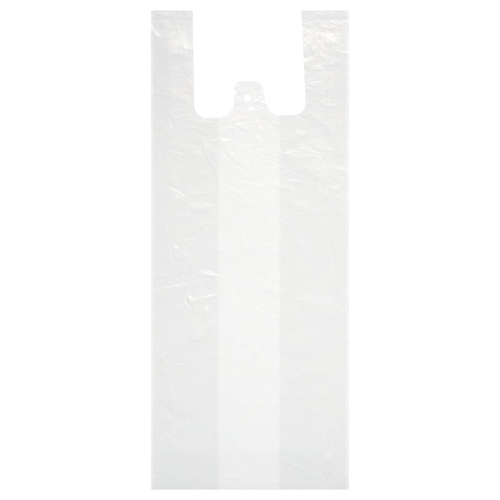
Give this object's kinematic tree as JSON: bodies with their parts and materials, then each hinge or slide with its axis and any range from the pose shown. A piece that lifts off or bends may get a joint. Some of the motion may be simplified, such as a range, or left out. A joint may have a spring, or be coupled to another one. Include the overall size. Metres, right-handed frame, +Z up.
{
  "type": "plastic carrier bag",
  "caption": "Flat-folded white plastic film carrier bag with tucked side gussets, a punched mouth between loop handles and a centre tab with a hanging hole.",
  "frame": {"origin": "middle of the bag's plan, on the surface that the bag lies on", "axes": "+X across the bag, +Y along the bag to its handles, +Z up through the folded layers"},
  "size_m": [0.2078, 0.5, 0.0056],
  "materials": {
    "film": "thin translucent white film, satin, creased"
  },
  "bodies": {
    "root": {"carrier_bag": "film"}
  },
  "joints": []
}
